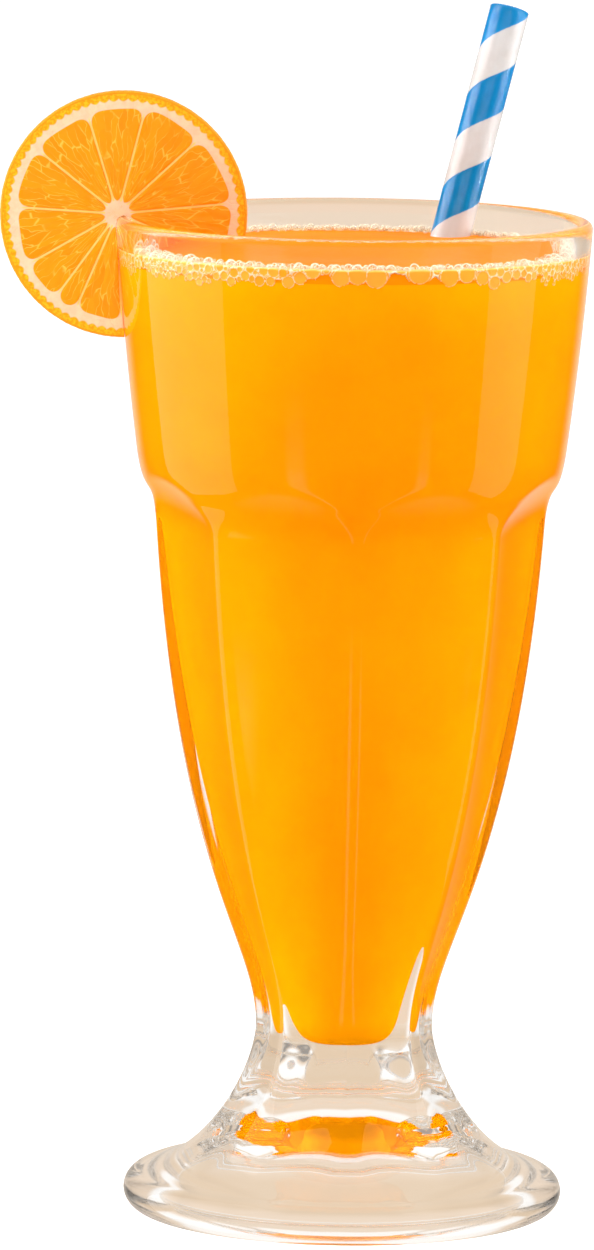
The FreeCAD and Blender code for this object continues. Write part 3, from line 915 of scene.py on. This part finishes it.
def straw_piece():
    """One closed loop carried round the axis: outer wall, top end, inner wall, lower end."""
    around = 64
    steps = 120
    inside = STRAW_RADIUS - STRAW_WALL
    soft = SOFT_END
    height = np.clip(np.linspace(0, STRAW_LENGTH, steps), soft, STRAW_LENGTH - soft)
    outer_wall = np.stack([np.full(steps, STRAW_RADIUS), height], axis=-1)
    inner_wall = np.stack([np.full(steps, inside), height[::-1]], axis=-1)
    top_edge = [(STRAW_RADIUS - soft, STRAW_LENGTH), (inside + soft, STRAW_LENGTH)]
    low_edge = [(inside + soft, 0.0), (STRAW_RADIUS - soft, 0.0)]
    loop = np.concatenate([outer_wall, top_edge, inner_wall, low_edge])
    turn = np.linspace(0, FULL_TURN, around + 1)
    side = np.cross(STRAW_AXIS, [0, 1, 0])
    side /= np.linalg.norm(side)
    away = np.cross(STRAW_AXIS, side)
    seam = (loop[:, 1:] / STRIPE_PITCH - turn / FULL_TURN + STRIPE_OFFSET) % 1
    ridge = SEAM_RIDGE * np.exp(-((seam - 0.5) / 0.02) ** 2) * (loop[:, :1] >= STRAW_RADIUS - 0.001)
    reach = loop[:, :1] - SEAM_RIDGE + ridge
    outwards = np.cos(turn)[None, :, None] * side + np.sin(turn)[None, :, None] * away
    points = STRAW_TIP + loop[:, 1][:, None, None] * STRAW_AXIS + reach[..., None] * outwards
    rows = len(loop)
    grid = quads(rows, around + 1, False)
    first = np.arange(around)
    last = first + (rows - 1) * (around + 1)
    closing = np.stack([last, last + 1, first + 1, first], axis=-1)
    piece = make_piece("striped_straw", points.reshape(-1, 3), [grid, closing], [paper_finish()])
    paint(piece, "around", np.broadcast_to(turn / FULL_TURN, (rows, around + 1)))
    paint(piece, "along", np.broadcast_to(loop[:, 1:] / STRIPE_PITCH, (rows, around + 1)))
    paint(piece, "outer", np.broadcast_to(loop[:, :1] > inside + 0.1, (rows, around + 1)))
    return piece


def paper_finish():
    """White paper with one printed blue stripe, fibres, a faint seam and a waxy gloss."""
    look = Finish("wound striped paper")
    start = STRIPE_OFFSET + WHOLE_TURNS
    phase = (look.attribute("along") - look.attribute("around") + start).fraction()
    fibres = look.noise(1200.0, 3.0, 0.65)
    streak = look.noise(260.0, 2.0)
    swing = phase + (fibres - 0.5) * 0.015
    printed = swing.ramp_between(0.0, 0.02) * (1 - swing.ramp_between(0.5, 0.52)) * look.attribute("outer")
    blue = look.blend(streak.ramp_between(0.35, 0.7), (0.0, 0.18, 0.44, 1), (0.002, 0.215, 0.51, 1))
    white = look.blend(streak.ramp_between(0.3, 0.7), (0.53, 0.52, 0.505, 1), (0.58, 0.575, 0.57, 1))
    colour = look.blend(printed, white, blue)
    seam = 1 - (phase - 0.5).absolute().ramp_between(0.0, 0.012)
    bumped = look.bump(fibres * 0.3 - seam * 0.6, 0.2, 0.0003)
    return look.done(look.surface({"Base Color": colour, "Roughness": 0.17, "IOR": 1.5,
                                   "Specular IOR Level": 0.5, "Normal": bumped}))


straw = straw_piece()
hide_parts("straw")
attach(straw, "root")

# %% [markdown]
# ## Studio
# The glass stands on a pale floor. Two tall softboxes at the sides draw the bright panels on the
# band. The other lamps only fill: they light what is dull, and are kept out of clear reflections.

# %% Floor and lamps
def softbox(name, azimuth, distance, width, height, middle, radiance, mirrored):
    """Rectangular lamp that faces the glass's axis, at an azimuth in degrees from the front."""
    lamp = bpy.data.lights.new(name, "AREA")
    lamp.shape = "RECTANGLE"
    lamp.size = width
    lamp.size_y = height
    lamp.energy = radiance * width * height * math.pi
    holder = add_object(name, lamp)
    turn = math.radians(azimuth)
    place = np.array([math.sin(turn) * distance, -math.cos(turn) * distance, middle])
    target = np.array([0.0, 0.0, 0.12])
    back = (place - target) / np.linalg.norm(place - target)
    across = np.cross([0, 0, 1], back)
    across /= np.linalg.norm(across)
    up = np.cross(back, across)
    holder.matrix_world = Matrix(np.block([[np.stack([across, up, back], axis=1), place[:, None]],
                                           [np.zeros((1, 3)), np.ones((1, 1))]]).tolist())
    lamp.cycles.use_multiple_importance_sampling = mirrored
    holder.visible_transmission = not mirrored
    holder.visible_camera = False
    return holder


softbox("softbox_left", -94, 0.85, 0.98, 2.2, 0.35, 0.62, mirrored=True)
softbox("softbox_right", 84, 0.85, 0.52, 2.2, 0.35, 0.55, mirrored=True)
softbox("fill_left", -92, 0.8, 0.9, 1.2, 0.4, 3.0, mirrored=False)
softbox("fill_right", 95, 0.8, 0.9, 1.2, 0.4, 2.4, mirrored=False)
softbox("fill_front", 5, 1.4, 1.3, 1.4, 0.5, 1.1, mirrored=False)
sun = bpy.data.lights.new("sky_panel", "SUN")
sun.energy = 1.2
sun.angle = math.radians(70)
sun.cycles.use_multiple_importance_sampling = False
add_object("sky_panel", sun)

floor_mesh = bpy.data.meshes.new("floor")
FLOOR = 14.0
floor_corners = [(-FLOOR, -FLOOR, 0), (FLOOR, -FLOOR, 0), (FLOOR, FLOOR, 0), (-FLOOR, FLOOR, 0)]
floor_mesh.from_pydata(floor_corners, [], [(0, 1, 2, 3)])
floor = add_object("floor", floor_mesh)
paper = Finish("pale floor")
pale = paper.surface({"Base Color": (0.6, 0.595, 0.59, 1), "Roughness": 0.9, "Specular IOR Level": 0.1,
                      "Emission Color": (1, 1, 1, 1), "Emission Strength": 0.62})
floor_mesh.materials.append(paper.done(pale))
floor.visible_glossy = False
floor.visible_transmission = False
print(len(bpy.data.lights), "lamps over a floor", 2 * FLOOR, "metres wide")

# %% [markdown]
# ## World
# The world is white where it is looked at. Where the glass bends it into view it is a warm backdrop
# with white windows at the sides and narrow dark edges, which is what makes clear glass readable.
# Where it is mirrored it is nearly black, so the glass keeps its depth, but for two soft strips low
# in front: they draw the long pale lines down the flutes.

# %% World
world = bpy.data.worlds.new("studio")
bpy.context.scene.world = world
air = Finish("studio", world)
direction = air.node("ShaderNodeTexCoord", output="Generated")
east, north, height = (air.node("ShaderNodeSeparateXYZ", {}, {0: direction}, output=name)
                       for name in "XYZ")
behind = north.ramp_between(-0.15, 0.35)
aside = east.absolute()
backdrop = air.blend(behind, (0.70, 0.62, 0.53, 1), (0.90, 0.73, 0.57, 1))
table = 1 - height.ramp_between(-0.35, -0.12)
backdrop = air.blend(table, backdrop, (0.82, 0.64, 0.46, 1))
window = aside.ramp_between(0.50, 0.64) * (1 - aside.ramp_between(0.76, 0.88))
window = window * height.ramp_between(-0.45, -0.3)
bent = air.blend(window, backdrop, (1.12, 1.10, 1.07, 1))
edge_card = aside.ramp_between(0.86, 0.92) * (1 - aside.ramp_between(0.95, 0.99))
bent = air.blend(edge_card * 0.85, bent, (0.30, 0.28, 0.26, 1))
above = height.ramp_between(0.45, 0.6)
bent = air.blend(above * 0.8, bent, (1.15, 1.13, 1.1, 1))
near_axis = behind * (1 - aside.ramp_between(0.25, 0.55))
mirrored = air.blend(near_axis, (0.012, 0.012, 0.012, 1), (0.72, 0.64, 0.55, 1))
slant = east / (0.001 - north)
low_front = (1 - north.ramp_between(-0.2, 0.0)) * (1 - height.ramp_between(-0.42, -0.30))
left_strip = slant.ramp_between(-0.78, -0.68) * (1 - slant.ramp_between(-0.54, -0.44))
right_strip = slant.ramp_between(0.70, 0.80) * (1 - slant.ramp_between(0.88, 0.98))
mirrored = air.blend((left_strip + right_strip) * low_front, mirrored, (0.52, 0.52, 0.52, 1))
ray = {kind: air.node("ShaderNodeLightPath", output=kind)
       for kind in ("Is Camera Ray", "Is Glossy Ray", "Is Transmission Ray")}
seen = air.blend(ray["Is Glossy Ray"], (0.4, 0.4, 0.4, 1), mirrored)
seen = air.blend(ray["Is Transmission Ray"], seen, bent)
seen = air.blend(ray["Is Camera Ray"], seen, (1, 1, 1, 1))
background = air.node("ShaderNodeBackground", {}, {"Color": seen, "Strength": 1.0})
air.done(background, "ShaderNodeOutputWorld")
print("world of", len(air.tree.nodes), "nodes")

# %% [markdown]
# ## Camera
# A long lens nearly two metres away keeps the rim's ellipse as flat as it should be. The camera
# looks slightly down, so a sliver of the juice's top shows over the front lip. Light that crosses
# eight ribs and a foot is bent many times, so the renderer is allowed many bounces.

# %% Camera and colour
camera_data = bpy.data.cameras.new("camera")
camera_data.sensor_width = 36.0
camera_data.lens = 283.2
camera = add_object("camera", camera_data)
camera.matrix_world = (Matrix.Translation((-0.01045, -1.95, 0.38))
                       @ Matrix.Rotation(math.radians(90 - 7.645), 4, "X")
                       @ Matrix.Rotation(math.radians(0.72), 4, "Z"))
bpy.context.scene.camera = camera
bpy.context.scene.view_settings.view_transform = "Standard"
BOUNCES = 32
cycles = bpy.context.scene.cycles
cycles.transparent_max_bounces = BOUNCES
cycles.max_bounces = BOUNCES
cycles.transmission_bounces = BOUNCES
cycles.glossy_bounces = BOUNCES // 2
print("lens", camera_data.lens, "mm,", BOUNCES, "bounces")
